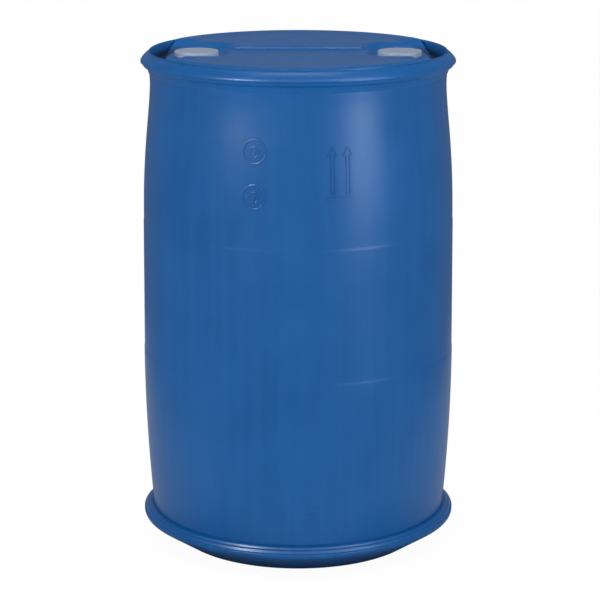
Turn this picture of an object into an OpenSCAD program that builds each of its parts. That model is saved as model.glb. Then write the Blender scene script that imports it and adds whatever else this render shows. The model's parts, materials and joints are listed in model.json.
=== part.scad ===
// Closed-head plastic chemical drum, 220 litre class, standing on its base.
// Origin at the centre of the base, +Z up, -Y to the front, +X to the right.
// The two bungs lie on the X axis, left at -X and right at +X.

/* [Drum] */
// Height from the floor to the flat top of the head
drum_h = 930; // [760:1:1200]
// Diameter of the barrel where it is fullest
barrel_d = 582.6; // [480:0.1:720]
// Wall of the blown shell
wall = 3.8; // [2.5:0.1:6]

/* [Barrel] */
// How far the neck under the top ring lies inside the fullest radius
neck_in = 18.2; // [8:0.1:26]
// Depth of the neck's narrowest place below the top of the head
neck_below = 60; // [50:1:100]
// How far the foot of the barrel lies inside the fullest radius
foot_in = 13.6; // [6:0.1:20]
// Height of the foot of the barrel, where the bottom ring begins
foot_z = 62; // [54:1:80]
// Height of the lower belt line
lower_belt_z = 367; // [200:1:420]
// Height of the upper belt line
upper_belt_z = 611; // [460:1:660]
// How far the upper belt line lies inside the fullest radius
upper_belt_in = 2.4; // [1:0.1:6]
// Step of the barrel at a belt line
belt_step = 0.5; // [0.2:0.1:1.5]
// Height over which a belt line's step is made
belt_h = 14; // [6:1:24]

/* [Base] */
// How far the standing edge lies inside the bottom ring's seat
heel_in = 46; // [30:1:60]
// Rise of the sloping heel from the standing edge to the ring's seat
heel_h = 30.2; // [20:0.1:40]
// Rounding of the standing edge
heel_round = 8; // [2:0.5:12]
// Width of the flat rim that the drum stands on
stand_w = 27; // [15:1:40]
// Depth of the dished base panel inside the standing rim
dish_h = 8; // [4:0.5:14]

/* [Rings] */
// How far the top ring's seat lies outside the neck
top_seat_out = 0.9; // [0.4:0.1:3]
// Depth of the top ring's seat below the top of the head
top_seat_h = 44; // [38:1:48]
// Width of the top ring's nose
nose_w = 16; // [10:0.5:22]
// Height from the top ring's lip to the top of the head
nose_h = 18; // [12:0.5:20]
// Shape of the top ring's nose: 2 is round, 1 is a plain slope
nose_power = 1.3; // [1:0.05:2]
// How far the bottom ring's seat lies inside the foot of the barrel
bottom_seat_in = 1.7; // [1:0.1:4]
// How far the bottom ring's lip stands out from its seat
lip_w = 20; // [12:0.5:26]

/* [Head] */
// Width of the head's rounded edge inside the top ring
edge_w = 6; // [4:0.5:10]
// Drop of the head's rounded edge, down to the crest of the top ring
edge_h = 2.5; // [1:0.1:4]
// Distance from the top ring's seat to a bung's axis
bung_inset = 87; // [80:1:110]
// Depth of the deck that carries a bung, below the top of the head
deck_below = 16; // [13:0.1:20]
// Depth of the grip valley beside the top ring, below the top of the head
valley_below = 33; // [24:1:36]
// Width of the grip valley's floor
valley_floor = 6; // [4:0.5:12]
// Width of the slope from the deck down to the valley's floor
deck_slope_w = 18; // [10:1:22]
// Width of the slope from the valley's floor up to the top ring
ring_slope_w = 9; // [5:0.5:14]
// Width of the land that is left beside the top ring's seat
crest_land = 1; // [0.5:0.1:3]
// Half width of the mouth of the recess round a bung
mouth_w = 95; // [80:1:100]
// Distance from a bung's axis to the inner end of its recess
mouth_l = 72; // [66:1:84]
// Rounding of the inner corners of the recess, seen from above
mouth_round = 44; // [34:1:56]
// Run of the recess's bank for each unit of its depth
bank = 1.5; // [0.8:0.1:1.6]
// Half length of the grip valley's mouth, measured across the drum
valley_half_l = 127; // [90:1:140]
// Run of the valley's end banks for each unit of their depth
valley_bank = 0.8; // [0.3:0.1:1.2]
// Half width of the channel between the bungs, at its top
channel_w = 44; // [20:1:50]
// Depth of the channel between the bungs
channel_h = 8; // [4:0.5:12]
// Run of the channel's bank for each unit of its depth
channel_bank = 0.8; // [0.2:0.1:1]

/* [Bungs] */
// Outer diameter of the left plug's coarse thread
left_thread_d = 56; // [48:0.1:68]
// Outer diameter of the right plug's pipe thread
right_thread_d = 59.6; // [48:0.1:72]
// Radial clearance between a plug and its neck
thread_gap = 0.3; // [0.2:0.05:0.5]
// Wall of a neck insert outside the larger thread
neck_wall = 5.9; // [4:0.1:8]
// How far the neck's rim and locking flange overlap the deck
neck_lap = 2.8; // [1.5:0.1:5]
// Height of the neck's rim above the deck
rim_h = 3; // [2:0.1:5]
// Thickness of the neck's locking flange under the deck
lock_h = 3; // [2:0.1:5]
// Depth of the neck below the deck
neck_depth = 24; // [18:1:34]
// Thickness of a plug's gasket
gasket_t = 2; // [1:0.1:3]
// Thickness of a plug's flange
flange_t = 4.2; // [3:0.1:6]
// How far a plug's flange lies inside the neck's rim
flange_in = 0.5; // [0.2:0.1:2]
// Length of a plug's shank below its flange
shank_l = 26; // [18:1:34]
// Wall of a plug's cup
plug_wall = 5; // [3:0.1:7]
// Floor of a plug's cup
plug_floor = 3; // [2:0.1:6]
// Number of wrench lugs in a plug's cup
lug_count = 4; // [2:1:6]
// Width of a wrench lug
lug_w = 7; // [4:0.5:10]
// How far a wrench lug stands into the cup
lug_l = 6; // [3:0.5:9]
// Depth of the wrench lugs below the top of the plug
lug_below = 4; // [2:0.5:8]
// Clearance between a cap seal and what it covers
seal_gap = 0.3; // [0.2:0.05:0.6]
// Wall of a cap seal's skirt
seal_wall = 1.6; // [1:0.1:2.5]
// Thickness of a cap seal's top
seal_top = 1.4; // [0.8:0.1:2]
// Height of a cap seal's skirt above the deck
seal_above = 1.2; // [0.5:0.1:2]
// Rounding of a cap seal's top edge
seal_round = 1.2; // [0.4:0.1:1.4]

/* [Hidden] */
$fn = 96;

hdpe_blue = [0.11, 0.36, 0.62];
neck_blue = [0.13, 0.40, 0.66];
plug_white = [0.86, 0.87, 0.88];
seal_white = [0.80, 0.83, 0.86];
gasket_black = [0.08, 0.08, 0.09];

// Clearance that lets a cut run past the solid it is taken from
past = 1;

barrel_r = barrel_d / 2;
neck_r = barrel_r - neck_in;
foot_r = barrel_r - foot_in;
neck_z = drum_h - neck_below;

top_seat_r = neck_r + top_seat_out;
top_seat_z = drum_h - top_seat_h;
nose_z = drum_h - nose_h;
bottom_seat_r = foot_r - bottom_seat_in;
stand_r = bottom_seat_r - heel_in;
dish_r = stand_r - stand_w - dish_h;
heel_rise = heel_h / heel_in;

bung_x = top_seat_r - bung_inset;
deck_z = drum_h - deck_below;
valley_out_r = top_seat_r - crest_land - ring_slope_w;
valley_in_r = valley_out_r - valley_floor;
deck_slope = (valley_below - deck_below) / deck_slope_w;

hole_r = max(left_thread_d, right_thread_d) / 2 + thread_gap + neck_wall;
rim_r = hole_r + neck_lap;
flange_r = rim_r - flange_in;
flange_z = rim_h + gasket_t;
plug_top_z = flange_z + flange_t;
seal_in_r = rim_r + seal_gap;
seal_r = seal_in_r + seal_wall;
seal_in_z = plug_top_z + seal_gap;
seal_top_z = seal_in_z + seal_top;

// ---- Outlines: points are [radius, height], a third number rounds the corner

function unit(v) = v / norm(v);

// The arc that rounds the corner at b between a and c
function corner_arc(a, b, c, radius, steps = 6) =
    let (
        u = unit(a - b),
        v = unit(c - b),
        half = acos(u * v) / 2,
        centre = b + unit(u + v) * radius / sin(half),
        from_centre = b + u * radius / tan(half) - centre,
        to_centre = b + v * radius / tan(half) - centre,
        sweep = 180 - 2 * half
    )
    [for (i = [0:steps]) let (s = i / steps)
        centre + (sin((1 - s) * sweep) * from_centre + sin(s * sweep) * to_centre) / sin(sweep)];

function flat(p) = [p[0], p[1]];

// A line of points with the marked corners rounded
function rounded(line) =
    [for (i = [0:len(line) - 1]) each
        line[i][2] == undef
            ? [flat(line[i])]
            : corner_arc(flat(line[i - 1]), flat(line[i]), flat(line[i + 1]), line[i][2])];

// A curve that leaves a and reaches b upright, with handles of the given heights
function upright_curve(a, b, rise_a, rise_b, steps = 16) =
    let (p = a + [0, rise_a], q = b - [0, rise_b])
    [for (i = [0:steps]) let (s = i / steps, t = 1 - s)
        t * t * t * a + 3 * t * t * s * p + 3 * t * s * s * q + s * s * s * b];

// The barrel from its foot to the neck: a bowed foot, a straight middle between
// the two belt lines and a shoulder that draws in to the neck
function barrel_line(inset) =
    let (
        belly = [barrel_r - inset, lower_belt_z - belt_h / 2],
        foot = [foot_r - inset, foot_z],
        over_lower = [barrel_r - belt_step - inset, lower_belt_z + belt_h / 2],
        under_upper = [barrel_r - upper_belt_in - inset, upper_belt_z - belt_h],
        on_upper = under_upper + [-belt_step, belt_h / 2],
        over_upper = under_upper + [belt_step / 2, belt_h * 3 / 2],
        neck = [neck_r - inset, neck_z],
        bow = (belly[1] - foot[1]) / 2,
        draw = neck[1] - over_upper[1]
    )
    concat(
        [for (i = [0:16]) let (s = i / 16, t = 1 - s)
            t * t * foot + 2 * t * s * (belly - [0, bow]) + s * s * belly],
        [over_lower, under_upper, on_upper],
        upright_curve(over_upper, neck, draw * 0.515, draw * 0.2)
    );

// Outside of the shell, with a seat for each ring
shell_outline = concat(
    rounded([
        [0, dish_h],
        [dish_r, dish_h, 4],
        [dish_r + dish_h, 0, 3],
        [stand_r, 0, heel_round],
        [bottom_seat_r, heel_h],
        [bottom_seat_r, foot_z],
    ]),
    barrel_line(0),
    rounded([
        [top_seat_r, top_seat_z],
        [top_seat_r, drum_h - edge_h],
        [top_seat_r - edge_w * 0.4, drum_h, edge_w * 0.9],
        [top_seat_r - edge_w, drum_h],
        [0, drum_h],
    ])
);

// Height of the heel's inner face at a radius
function heel_in_z(r) = (r - stand_r) * heel_rise + wall * norm([1, heel_rise]);

// Inside of the shell before the recesses of the head are allowed for
cavity_outline = concat(
    rounded([
        [0, dish_h + wall],
        [dish_r + wall / 2, dish_h + wall, 6],
        [dish_r + dish_h, wall, 3],
        [stand_r + wall * (1 - norm([1, heel_rise])) / heel_rise, wall, heel_round],
        [bottom_seat_r - wall, heel_in_z(bottom_seat_r - wall)],
        [bottom_seat_r - wall, foot_z],
    ]),
    barrel_line(wall),
    rounded([
        [top_seat_r - wall, top_seat_z],
        [top_seat_r - wall, drum_h - wall, 12],
        [0, drum_h - wall],
    ])
);

// Section of the top ring: a sloping nose over a lip, a ledge and a drawn-in collar
top_ring_outline = concat(
    [for (a = [90:-9:9]) [
        top_seat_r + nose_w * pow(cos(a), 2 / nose_power),
        nose_z + (nose_h - edge_h) * pow(sin(a), 2 / nose_power)
    ]],
    rounded([
        [top_seat_r + nose_w, nose_z],
        [top_seat_r + nose_w, nose_z - 2.2, 1],
        [top_seat_r + nose_w - 2.2, nose_z - 3.2, 0.6],
        [top_seat_r + nose_w - 4.6, nose_z - 8, 2],
        [top_seat_r + 4.4, nose_z - 12.4, 2],
        [top_seat_r + 2.4, nose_z - 19, 3],
        [top_seat_r, top_seat_z],
    ])
);

// Section of the bottom ring: two narrow treads above a broad lip
bottom_ring_outline = rounded([
    [bottom_seat_r, heel_h],
    [bottom_seat_r + lip_w, heel_h + lip_w * heel_rise, 6],
    [bottom_seat_r + lip_w, foot_z - 11.6, 1.3],
    [bottom_seat_r + lip_w - 3.5, foot_z - 10],
    [bottom_seat_r + lip_w - 5.7, foot_z - 6, 1.6],
    [bottom_seat_r + lip_w - 9.2, foot_z - 4.2],
    [bottom_seat_r + lip_w - 11, foot_z - 1.4, 1.6],
    [bottom_seat_r + lip_w - 15.5, foot_z],
    [foot_r, foot_z],
    [bottom_seat_r, foot_z],
]);

// ---- Head

// The banked space over a bung's deck, open towards the ring
module deck_recess(grow) {
    depth = deck_below + grow;
    top_round = mouth_round + grow / 2 + past * bank;
    floor_round = mouth_round + grow / 2 - deck_below * bank;
    corner_y = mouth_w - mouth_round;
    inner_x = bung_x - mouth_l + mouth_round;
    intersection() {
        hull()
            for (x = [inner_x, top_seat_r], side = [-1, 1])
                translate([x, side * corner_y, drum_h - depth])
                    cylinder(h = depth + past, r1 = max(floor_round, 1), r2 = top_round, $fn = 48);
        cylinder(h = drum_h + 2 * past, r = valley_in_r);
    }
}

// The grip valley: a crescent between the deck and the top ring, with banked ends
module grip_valley(grow) {
    depth = valley_below + grow;
    ring_r = grow > 0 ? top_seat_r + past : top_seat_r - crest_land;
    floor_out_r = grow > 0 ? top_seat_r + past : valley_out_r;
    floor_in_r = valley_in_r - grow / 2;
    brim_r = floor_in_r - depth / deck_slope;
    past_r = brim_r - past / deck_slope;
    top_l = valley_half_l + grow + past * valley_bank;
    floor_l = valley_half_l + grow - depth * valley_bank;
    intersection() {
        rotate_extrude()
            polygon([
                [floor_in_r, drum_h - depth],
                [floor_out_r, drum_h - depth],
                [ring_r, drum_h],
                [ring_r, drum_h + past],
                [past_r, drum_h + past],
            ]);
        rotate([90, 0, 90])
            linear_extrude(top_seat_r + 2 * past)
                polygon([
                    [-floor_l, drum_h - depth],
                    [floor_l, drum_h - depth],
                    [top_l, drum_h + past],
                    [-top_l, drum_h + past],
                ]);
    }
}

// The space that is sunk into the head at the right bung
module bung_recess(grow) {
    deck_recess(grow);
    grip_valley(grow);
}

// The channel that joins the two recesses
module channel(grow) {
    top_w = channel_w + grow / 2 + past * channel_bank;
    floor_w = channel_w + grow / 2 - channel_h * channel_bank;
    translate([-bung_x, 0, 0])
        rotate([90, 0, 90])
            linear_extrude(2 * bung_x)
                polygon([
                    [-floor_w, drum_h - channel_h - grow],
                    [floor_w, drum_h - channel_h - grow],
                    [top_w, drum_h + past],
                    [-top_w, drum_h + past],
                ]);
}

module head_recesses(grow) {
    bung_recess(grow);
    mirror([1, 0, 0])
        bung_recess(grow);
    channel(grow);
}

module drum_body() {
    color(hdpe_blue)
        difference() {
            rotate_extrude()
                polygon(shell_outline);
            difference() {
                rotate_extrude()
                    polygon(cavity_outline);
                head_recesses(wall);
            }
            head_recesses(0);
            for (side = [-1, 1])
                translate([side * bung_x, 0, deck_z - wall - past])
                    cylinder(h = wall + 2 * past, r = hole_r);
        }
}

module top_ring() {
    color(hdpe_blue)
        rotate_extrude()
            polygon(top_ring_outline);
}

module bottom_ring() {
    color(hdpe_blue)
        rotate_extrude()
            polygon(bottom_ring_outline);
}

// ---- Bungs: each module is drawn about the Z axis with the deck at height 0

// Moulded-in insert that carries the thread, clamped to the edge of the deck's hole
module bung_neck(thread_d) {
    bore_r = thread_d / 2 + thread_gap;
    rotate_extrude()
        polygon([
            [bore_r, rim_h],
            [rim_r, rim_h],
            [rim_r, 0],
            [hole_r, 0],
            [hole_r, -wall],
            [rim_r, -wall],
            [rim_r, -wall - lock_h],
            [hole_r, -wall - lock_h],
            [hole_r - neck_lap / 2, -neck_depth],
            [bore_r, -neck_depth],
        ]);
}

// Cup-shaped plug with a flange and wrench lugs
module bung_plug(thread_d) {
    cup_r = thread_d / 2 - plug_wall;
    cup_z = flange_z - shank_l + plug_floor;
    difference() {
        union() {
            translate([0, 0, flange_z])
                cylinder(h = flange_t, r = flange_r);
            translate([0, 0, flange_z - shank_l])
                cylinder(h = shank_l, r = thread_d / 2);
        }
        translate([0, 0, cup_z])
            difference() {
                cylinder(h = plug_top_z - cup_z + past, r = cup_r);
                for (i = [0:lug_count - 1])
                    rotate(i * 360 / lug_count)
                        translate([cup_r - lug_l, -lug_w / 2, -past])
                            cube([lug_l + past, lug_w, plug_top_z - cup_z - lug_below + past]);
            }
    }
}

module plug_gasket(thread_d) {
    translate([0, 0, rim_h])
        difference() {
            cylinder(h = gasket_t, r = flange_r - flange_in);
            translate([0, 0, -past])
                cylinder(h = gasket_t + 2 * past, r = thread_d / 2 + thread_gap);
        }
}

// Overcap that is snapped over the neck's rim and has to be torn off first
module cap_seal() {
    rotate_extrude()
        polygon(rounded([
            [0, seal_in_z],
            [seal_in_r, seal_in_z],
            [seal_in_r, seal_above],
            [seal_r, seal_above],
            [seal_r, seal_top_z, seal_round],
            [0, seal_top_z],
        ]));
}

module at_bung(side) {
    translate([side * bung_x, 0, deck_z])
        children();
}

module left_neck() {
    color(neck_blue) at_bung(-1) bung_neck(left_thread_d);
}

module left_plug() {
    color(plug_white) at_bung(-1) bung_plug(left_thread_d);
}

module left_plug_gasket() {
    color(gasket_black) at_bung(-1) plug_gasket(left_thread_d);
}

module left_cap_seal() {
    color(seal_white) at_bung(-1) cap_seal();
}

module right_neck() {
    color(neck_blue) at_bung(1) bung_neck(right_thread_d);
}

module right_plug() {
    color(plug_white) at_bung(1) bung_plug(right_thread_d);
}

module right_plug_gasket() {
    color(gasket_black) at_bung(1) plug_gasket(right_thread_d);
}

module right_cap_seal() {
    color(seal_white) at_bung(1) cap_seal();
}

drum_body();
top_ring();
bottom_ring();
left_neck();
left_plug();
left_plug_gasket();
left_cap_seal();
right_neck();
right_plug();
right_plug_gasket();
right_cap_seal();
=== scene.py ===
"""Looks of a closed-head plastic drum, laid over its packed model.

The drum stands on its base at the origin, +Z up, with its two bungs on the X axis.
"""

import json
import math

import bmesh
import bpy
from bpy.props import FloatProperty, FloatVectorProperty, IntProperty, PointerProperty
from mathutils import Matrix, Vector


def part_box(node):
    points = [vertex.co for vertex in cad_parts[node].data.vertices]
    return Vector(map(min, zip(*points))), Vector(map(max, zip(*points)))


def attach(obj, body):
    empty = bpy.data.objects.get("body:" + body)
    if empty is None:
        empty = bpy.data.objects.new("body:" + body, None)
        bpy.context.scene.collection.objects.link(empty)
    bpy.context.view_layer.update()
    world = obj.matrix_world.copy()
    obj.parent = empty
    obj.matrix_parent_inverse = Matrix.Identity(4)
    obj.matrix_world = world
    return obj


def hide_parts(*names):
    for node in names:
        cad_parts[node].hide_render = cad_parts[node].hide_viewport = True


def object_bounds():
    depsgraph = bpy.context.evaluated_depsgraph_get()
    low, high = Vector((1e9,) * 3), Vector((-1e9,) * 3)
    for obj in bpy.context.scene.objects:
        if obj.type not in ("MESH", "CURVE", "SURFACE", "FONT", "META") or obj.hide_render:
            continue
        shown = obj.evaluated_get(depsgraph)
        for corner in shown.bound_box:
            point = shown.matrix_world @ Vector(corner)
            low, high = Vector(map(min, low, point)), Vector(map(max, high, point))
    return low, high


bl_info = {
    "name": "Closed-head plastic drum",
    "version": (1, 0, 0),
    "blender": (4, 5, 0),
    "location": "3D View > Sidebar > Drum",
    "description": "Builds the shell, rings, bungs and studio of a closed-head plastic drum",
    "category": "Add Mesh",
}

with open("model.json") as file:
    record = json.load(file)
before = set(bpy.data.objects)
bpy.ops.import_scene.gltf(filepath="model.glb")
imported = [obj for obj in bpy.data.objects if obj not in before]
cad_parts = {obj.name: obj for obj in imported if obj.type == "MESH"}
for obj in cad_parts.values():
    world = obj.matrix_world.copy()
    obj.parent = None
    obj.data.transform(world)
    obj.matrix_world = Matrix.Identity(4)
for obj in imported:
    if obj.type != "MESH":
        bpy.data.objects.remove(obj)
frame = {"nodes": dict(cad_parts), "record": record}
CAD_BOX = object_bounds()

MM = 0.001
SIDES = ("left", "right")
# Two points nearer than this are one point of a turned mesh
WELD = 0.00001
# Faces that meet at a larger angle than this keep a sharp edge
CREASE = math.radians(38)
# Most of the length of an outline's side that the rounding of one corner takes
CORNER_SHARE = 0.49
# How far the hole in a deck lies inside the neck's rim, which laps over it
NECK_LAP = 2.8 * MM
# Height of the flange that locks a neck under its deck
LOCK_H = 3 * MM
# How far above the lower end of a plug its thread begins
THREAD_START = 3 * MM
# Columns of faces in one turn of a thread, and the number over which it runs out
THREAD_COLUMNS, THREAD_RUN_OUT = 72, 20


# ---- Values that a user would change


def length(name, description, millimetres):
    """A length, shown in the scene's units and kept in metres."""
    return FloatProperty(
        name=name,
        description=description,
        default=millimetres * MM,
        min=0,
        unit="LENGTH",
        precision=4,
    )


def share(name, description, default):
    """A plain number with no unit."""
    return FloatProperty(name=name, description=description, default=default, min=0, precision=3)


def colour(name, description, default):
    """A colour in linear light."""
    return FloatVectorProperty(
        name=name,
        description=description,
        default=default,
        min=0,
        max=1,
        subtype="COLOR",
    )


class DrumShellSizes(bpy.types.PropertyGroup):
    """Outline of the blown shell."""

    barrel_r: length("Barrel radius", "Radius where the barrel is fullest", 291.3)
    wall: length("Wall", "Thickness of the blown wall", 3.8)
    neck_in: length("Neck inset", "How far the neck lies inside the fullest radius", 18.2)
    neck_below: length("Neck depth", "Depth of the neck below the top of the head", 60)
    foot_in: length("Foot inset", "How far the barrel's foot lies inside the fullest radius", 13.6)
    lower_belt_z: length("Lower belt", "Height of the lower belt line", 367)
    upper_belt_z: length("Upper belt", "Height of the upper belt line", 611)
    upper_belt_in: length("Upper belt inset", "How far the upper belt lies inside", 2.4)
    belt_step: length("Belt step", "Step of the barrel at a belt line", 0.7)
    belt_h: length("Belt height", "Height over which a belt line's step is made", 8)
    seat_in: length("Foot ring seat", "How far the bottom ring's seat lies inside the foot", 1.7)
    heel_in: length("Heel", "How far the standing edge lies inside the ring's seat", 46)
    heel_round: length("Heel rounding", "Rounding of the standing edge", 5)
    stand_w: length("Standing rim", "Width of the rim that the drum stands on", 27)
    dish_h: length("Dish", "Depth of the dished base panel", 8)
    columns: IntProperty(
        name="Columns",
        description="Columns of faces around the shell",
        default=344,
        min=96,
        max=480,
    )
    crowding: share(
        "Crowding", "How much closer the columns lie near the bungs than a quarter turn away", 0.5
    )


class DrumHeadSizes(bpy.types.PropertyGroup):
    """Recesses of the head round the two bungs."""

    deck_below: length("Deck depth", "Depth of a bung's deck below the top of the head", 16)
    valley_below: length("Valley depth", "Depth of the grip valley below the top", 33)
    valley_floor: length("Valley floor", "Width of the grip valley's floor", 6)
    deck_slope_w: length("Deck slope", "Width of the slope from the deck to the valley", 18)
    ring_slope_w: length("Ring slope", "Width of the slope from the valley to the ring", 9)
    crest_land: length("Crest land", "Width of the land left beside the top ring", 1)
    mouth_w: length("Mouth half width", "Half width of the recess round a bung", 98)
    mouth_l: length("Mouth length", "Distance from a bung to its recess's inner end", 72)
    mouth_round: length("Mouth rounding", "Rounding of the recess's inner corners", 44)
    bank: share("Bank", "Run of the recess's bank for each unit of depth", 1.5)
    valley_half_l: length("Valley half length", "Half length of the grip valley's mouth", 138)
    valley_bank: share("Valley bank", "Run of the valley's end banks for each unit of depth", 1.7)
    channel_w: length("Channel half width", "Half width of the channel at its top", 44)
    channel_h: length("Channel depth", "Depth of the channel between the bungs", 8)
    channel_bank: share("Channel bank", "Run of the channel's bank for each unit of depth", 0.8)
    head_dish: length("Head dish", "Depth that the head's middle is dished", 2.3)
    dish_w: length("Dish slope", "Width over which the head falls to its dished middle", 50)
    shoulder_w: length("Shoulder width", "Width of the head's rounded edge", 9)
    shoulder_h: length("Shoulder drop", "Height that the head's rounded edge falls", 2.5)
    soft_edge: length("Soft edge", "Depth over which an edge of the head is blended", 4.8)


class DrumRingSizes(bpy.types.PropertyGroup):
    """Handling rings and the lines that the mould leaves."""

    nose_h: length("Nose height", "Height of the top ring's nose", 18)
    nose_power: FloatProperty(
        name="Nose power",
        description="2 makes the nose round, 1 makes it a plain slope",
        default=1.3,
        min=1,
        max=2,
    )
    seam: length("Seam", "Width of the chamfer where the top ring meets the shell", 0.2)
    foot_seam: length("Foot seam", "Width of the chamfer where the bottom ring meets the shell", 0.25)
    columns: IntProperty(
        name="Columns", description="Columns of faces around a ring", default=360, min=96, max=480
    )
    mark_h: length("Mark height", "How far the moulded marks stand proud of the barrel", 1.4)
    mark_w: length("Mark line", "Width of a moulded mark's line", 3.2)
    dial_r: length("Dial radius", "Radius of a moulded date dial", 21)
    arrow_w: length("Arrow width", "Width of a moulded arrow's head", 21)
    arrow_h: length("Arrow height", "Height of a moulded arrow", 82)
    parting_w: length("Parting line", "Width of the mould's parting line", 1.6)
    parting_h: length("Parting height", "How far the parting line stands proud", 0.35)


class DrumBungSizes(bpy.types.PropertyGroup):
    """Necks, plugs, gaskets and cap seals."""

    rim_h: length("Rim height", "Height of a neck's rim above its deck", 3)
    flange_t: length("Flange", "Thickness of a plug's flange", 4.2)
    plug_wall: length("Plug wall", "Wall of a plug's cup", 5)
    plug_floor: length("Plug floor", "Floor of a plug's cup", 3)
    lug_w: length("Lug width", "Width of a wrench lug", 7)
    lug_l: length("Lug length", "How far a wrench lug stands into the cup", 6)
    lug_below: length("Lug depth", "Depth of the wrench lugs below the plug's top", 4)
    lug_count: IntProperty(
        name="Lugs", description="Number of wrench lugs in a plug", default=4, min=2, max=6
    )
    rib_count: IntProperty(
        name="Ribs", description="Number of grip ribs round a plug or neck", default=48, min=12, max=96
    )
    rib_out: length("Rib", "How far a grip rib stands out", 0.45)
    thread_share: share("Thread height", "Height of a thread as a share of its pitch", 0.3)
    seal_wall: length("Seal wall", "Wall of a cap seal's skirt", 1.6)
    seal_top: length("Seal top", "Thickness of a cap seal's top", 1.4)
    seal_round: length("Seal rounding", "Rounding of a cap seal's top edge", 1.6)
    seal_dip: length("Seal dip", "Depth of the panel in a cap seal's top", 0.5)
    tear_line: length("Tear line", "Depth of the tear line round a cap seal", 0.4)


class DrumFinishes(bpy.types.PropertyGroup):
    """Colours and surface of the plastics."""

    hdpe_blue: colour("Drum blue", "Colour of the blown shell", (0.002, 0.110, 0.370))
    neck_blue: colour("Neck blue", "Colour of the threaded inserts", (0.008, 0.115, 0.36))
    plug_white: colour("Plug white", "Colour of the screw plugs", (0.70, 0.71, 0.72))
    seal_white: colour("Seal white", "Colour of the cap seals", (0.56, 0.62, 0.74))
    # Painted shade: a cap seal's top is darker than its side, which faces the front light
    seal_top: colour("Seal top", "Colour of a cap seal's top, over the hollow plug", (0.35, 0.39, 0.51))
    gasket_black: colour("Gasket black", "Colour of the gaskets", (0.012, 0.012, 0.014))
    scuff: colour("Scuff", "Colour of scuffed plastic", (0.10, 0.26, 0.50))
    # Painted shade: the dark blue that the grip valleys and the deck banks beside them are darkened
    # towards
    painted_valley_shade: colour("Grime", "Colour of what settles in the grip valleys", (0.010, 0.030, 0.085))
    shell_roughness: share("Shell roughness", "Mean roughness of the blown shell", 0.33)
    ring_roughness: share("Ring roughness", "Mean roughness of the handling rings", 0.34)
    shell_specular: share("Shell gloss", "Specular level of the blown shell", 0.32)


class DrumStageSizes(bpy.types.PropertyGroup):
    """Camera, floor and lights."""

    camera_y: length("Camera distance", "Distance of the camera in front of the drum", 4051)
    camera_z: length("Camera height", "Height of the camera above the floor", 1462)
    camera_pitch: FloatProperty(
        name="Camera pitch",
        description="How far the camera looks down",
        default=math.radians(14),
        subtype="ANGLE",
    )
    camera_lens: FloatProperty(
        name="Lens", description="Focal length of the camera", default=132.5, unit="CAMERA"
    )
    camera_shift: FloatProperty(
        name="Shift", description="Sideways shift of the camera's view", default=0.0030
    )
    floor_half: length("Floor", "Half width of the floor", 30000)
    key_power: FloatProperty(name="Key", description="Power of the front light", default=22, unit="POWER")
    strip_power: FloatProperty(
        name="Strips", description="Power of the two strip lights", default=20, unit="POWER"
    )
    top_power: FloatProperty(name="Top", description="Power of the top light", default=10, unit="POWER")


GROUPS = {
    "drum_shell": DrumShellSizes,
    "drum_head": DrumHeadSizes,
    "drum_rings": DrumRingSizes,
    "drum_bungs": DrumBungSizes,
    "drum_finishes": DrumFinishes,
    "drum_stage": DrumStageSizes,
}


# ---- Node trees


class Wire:
    """A socket of a node tree; arithmetic on it adds Math nodes."""

    def __init__(self, graph, socket):
        self.graph = graph
        self.socket = socket

    def math(self, operation, *values):
        return self.graph.add("ShaderNodeMath", {"operation": operation}, values)

    def __add__(self, other):
        return self.math("ADD", self, other)

    def __radd__(self, other):
        return self.math("ADD", other, self)

    def __sub__(self, other):
        return self.math("SUBTRACT", self, other)

    def __rsub__(self, other):
        return self.math("SUBTRACT", other, self)

    def __mul__(self, other):
        return self.math("MULTIPLY", self, other)

    def __rmul__(self, other):
        return self.math("MULTIPLY", other, self)

    def __truediv__(self, other):
        return self.math("DIVIDE", self, other)

    def __rtruediv__(self, other):
        return self.math("DIVIDE", other, self)

    def __gt__(self, other):
        return self.math("GREATER_THAN", self, other)

    def __lt__(self, other):
        return self.math("LESS_THAN", self, other)

    def __abs__(self):
        return self.math("ABSOLUTE", self)

    def other(self, name):
        """Another output of the node that this socket belongs to."""
        return Wire(self.graph, self.socket.node.outputs[name])


class Graph:
    """Adds nodes to one node tree."""

    def __init__(self, tree):
        self.tree = tree

    def add(self, kind, settings=None, inputs=(), output=0):
        """Adds a node: its settings first, then values or links for its sockets."""
        node = self.tree.nodes.new(kind)
        for name, value in (settings or {}).items():
            if name == "stops":
                set_stops(node.color_ramp, value)
            else:
                setattr(node, name, value)
        pairs = inputs.items() if isinstance(inputs, dict) else enumerate(inputs)
        for key, value in pairs:
            if isinstance(value, Wire):
                self.tree.links.new(value.socket, node.inputs[key])
            else:
                node.inputs[key].default_value = value
        return Wire(self, node.outputs[output]) if len(node.outputs) else None

    def lowest(self, *values):
        return self.add("ShaderNodeMath", {"operation": "MINIMUM"}, values)

    def highest(self, *values):
        return self.add("ShaderNodeMath", {"operation": "MAXIMUM"}, values)

    def soft_lowest(self, *values):
        return self.add("ShaderNodeMath", {"operation": "SMOOTH_MIN"}, values)

    def soft_highest(self, *values):
        return self.add("ShaderNodeMath", {"operation": "SMOOTH_MAX"}, values)

    def radius(self, x, y):
        """Distance from the origin of the point (x, y)."""
        return self.add("ShaderNodeMath", {"operation": "SQRT"}, [x * x + y * y])

    def vector(self, x, y, z):
        return self.add("ShaderNodeCombineXYZ", inputs=[x, y, z])

    def parts(self, vector):
        """The three components of a vector."""
        x = self.add("ShaderNodeSeparateXYZ", inputs=[vector])
        return x, x.other("Y"), x.other("Z")

    def mix(self, factor, first, second):
        """A colour between two colours."""
        return self.add(
            "ShaderNodeMix", {"data_type": "RGBA"}, {0: factor, 6: first, 7: second}, output=2
        )


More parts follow.
